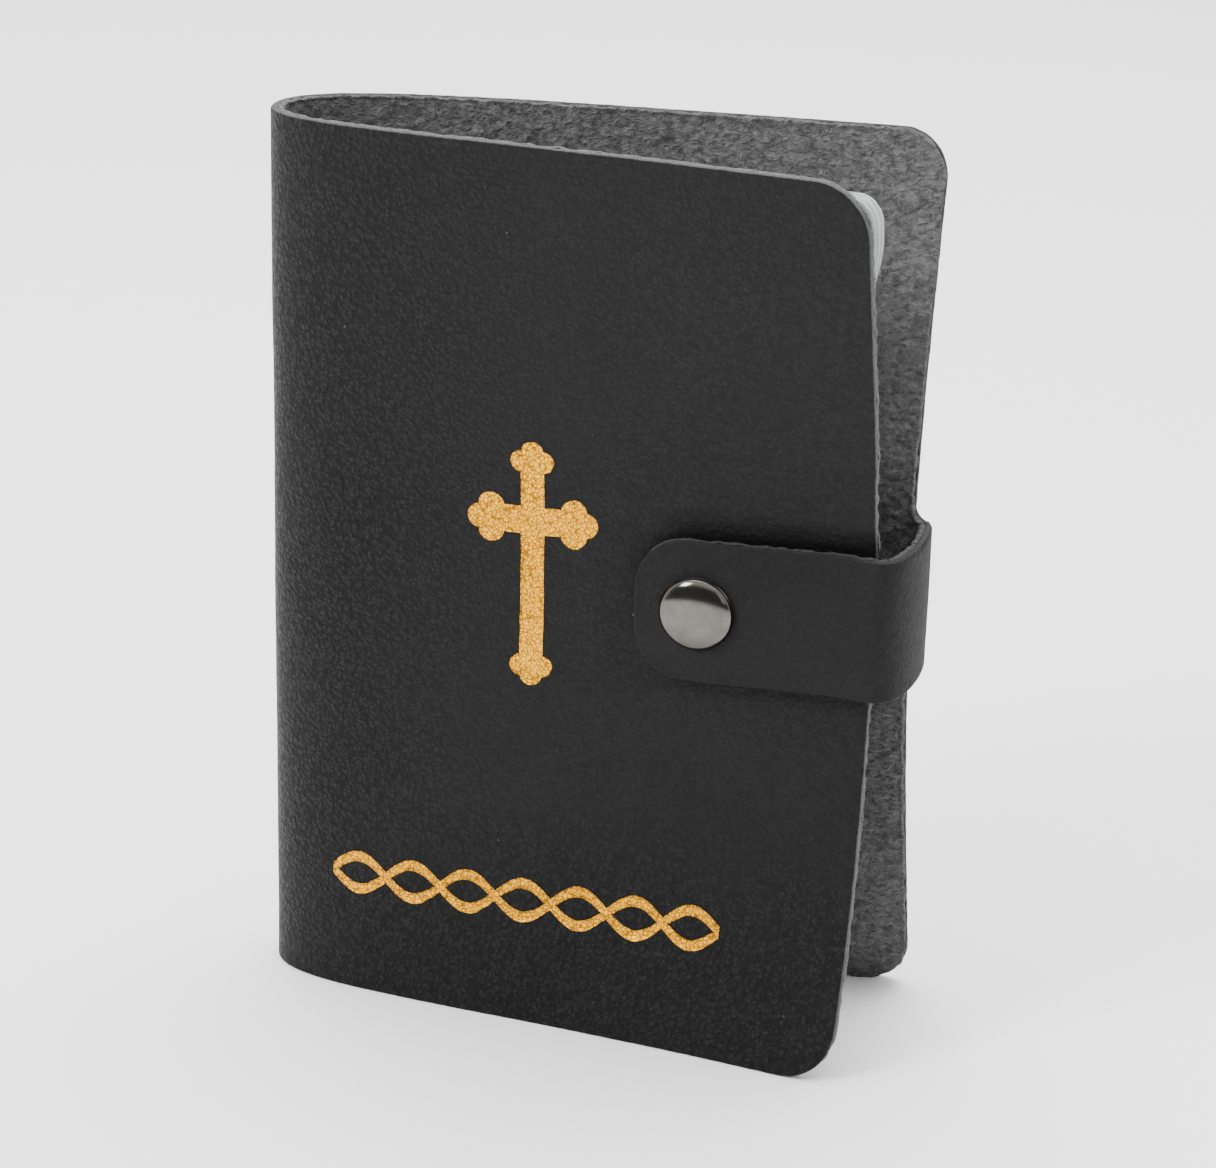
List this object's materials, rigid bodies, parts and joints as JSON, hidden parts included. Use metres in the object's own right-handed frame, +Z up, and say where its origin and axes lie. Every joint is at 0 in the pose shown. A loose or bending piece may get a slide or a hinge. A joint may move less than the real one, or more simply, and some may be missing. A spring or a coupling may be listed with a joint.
{
  "type": "prayer card wallet",
  "caption": "Pocket wallet for prayer cards: soft two-ply covers folded round a rolled spine, clear sleeves inside, and a strap with a press snap.",
  "frame": {"origin": "on the floor under the middle of the standing wallet's box", "axes": "+Z up, +X from the spine towards the free edges, -Y out of the front cover"},
  "size_m": [0.0932, 0.0368, 0.127],
  "materials": {
    "leather": "fine pebble grain, satin charcoal black",
    "suede": "mottled grey suede nap",
    "vinyl": "clear soft film",
    "foil": "pressed gold foil",
    "snap_metal": "polished gunmetal",
    "spring_steel": "bright wire"
  },
  "bodies": {
    "back_cover": {"back_cover_skin": "leather", "back_cover_lining": "suede"},
    "spine": {"spine_skin": "leather", "spine_lining": "suede"},
    "front_cover": {"front_cover_skin": "leather", "front_cover_lining": "suede", "binding_strip": "vinyl", "foil_cross": "foil", "foil_band": "foil", "snap_stud": "snap_metal", "snap_post": "snap_metal"},
    "strap_bend": {"strap_bend_skin": "leather", "strap_bend_lining": "suede"},
    "strap_front": {"strap_skin": "leather", "strap_lining": "suede", "snap_cap": "snap_metal", "snap_socket": "snap_metal", "snap_spring": "spring_steel"},
    "sleeve_1": {"sleeve_1": "vinyl"},
    "sleeve_2": {"sleeve_2": "vinyl"},
    "sleeve_3": {"sleeve_3": "vinyl"},
    "sleeve_4": {"sleeve_4": "vinyl"},
    "sleeve_5": {"sleeve_5": "vinyl"},
    "sleeve_6": {"sleeve_6": "vinyl"}
  },
  "joints": [
    {"name": "front_open", "type": "hinge", "parent": "spine", "child": "front_cover", "pos_m": [-0.04413, 0.00025, 0], "axis": [0, 0, -1], "range_deg": [0, 90]},
    {"name": "spine_roll", "type": "hinge", "parent": "back_cover", "child": "spine", "pos_m": [-0.0441, 0.01179, 0], "axis": [0, 0, -1], "range_deg": [0, 90]},
    {"name": "strap_lift", "type": "hinge", "parent": "strap_bend", "child": "strap_front", "pos_m": [0.04448, -0.01107, 0.065], "axis": [0, 0, 1], "range_deg": [0, 85]},
    {"name": "strap_swing", "type": "hinge", "parent": "back_cover", "child": "strap_bend", "pos_m": [0.04664, -0.00064, 0.0652], "axis": [0, 0, 1], "range_deg": [0, 85]},
    {"name": "sleeve_1_turn", "type": "hinge", "parent": "front_cover", "child": "sleeve_1", "pos_m": [-0.0376, -0.00054, 0], "axis": [0, 0, 1], "range_deg": [0, 2]},
    {"name": "sleeve_2_turn", "type": "hinge", "parent": "front_cover", "child": "sleeve_2", "pos_m": [-0.03739, 0.00002, 0], "axis": [0, 0, 1], "range_deg": [0, 4]},
    {"name": "sleeve_3_turn", "type": "hinge", "parent": "front_cover", "child": "sleeve_3", "pos_m": [-0.03718, 0.00059, 0], "axis": [0, 0, 1], "range_deg": [0, 6]},
    {"name": "sleeve_4_turn", "type": "hinge", "parent": "front_cover", "child": "sleeve_4", "pos_m": [-0.03697, 0.00115, 0], "axis": [0, 0, 1], "range_deg": [0, 8]},
    {"name": "sleeve_5_turn", "type": "hinge", "parent": "front_cover", "child": "sleeve_5", "pos_m": [-0.03676, 0.00171, 0], "axis": [0, 0, 1], "range_deg": [0, 10]},
    {"name": "sleeve_6_turn", "type": "hinge", "parent": "front_cover", "child": "sleeve_6", "pos_m": [-0.03655, 0.00227, 0], "axis": [0, 0, 1], "range_deg": [0, 12]}
  ],
  "couplings": [
    {"joint": "spine_roll", "follows": "front_open", "ratio": 1},
    {"joint": "strap_swing", "follows": "strap_lift", "ratio": 1},
    {"joint": "sleeve_1_turn", "follows": "front_open", "ratio": 0.022},
    {"joint": "sleeve_2_turn", "follows": "front_open", "ratio": 0.044},
    {"joint": "sleeve_3_turn", "follows": "front_open", "ratio": 0.066},
    {"joint": "sleeve_4_turn", "follows": "front_open", "ratio": 0.088},
    {"joint": "sleeve_5_turn", "follows": "front_open", "ratio": 0.11},
    {"joint": "sleeve_6_turn", "follows": "front_open", "ratio": 0.132}
  ]
}
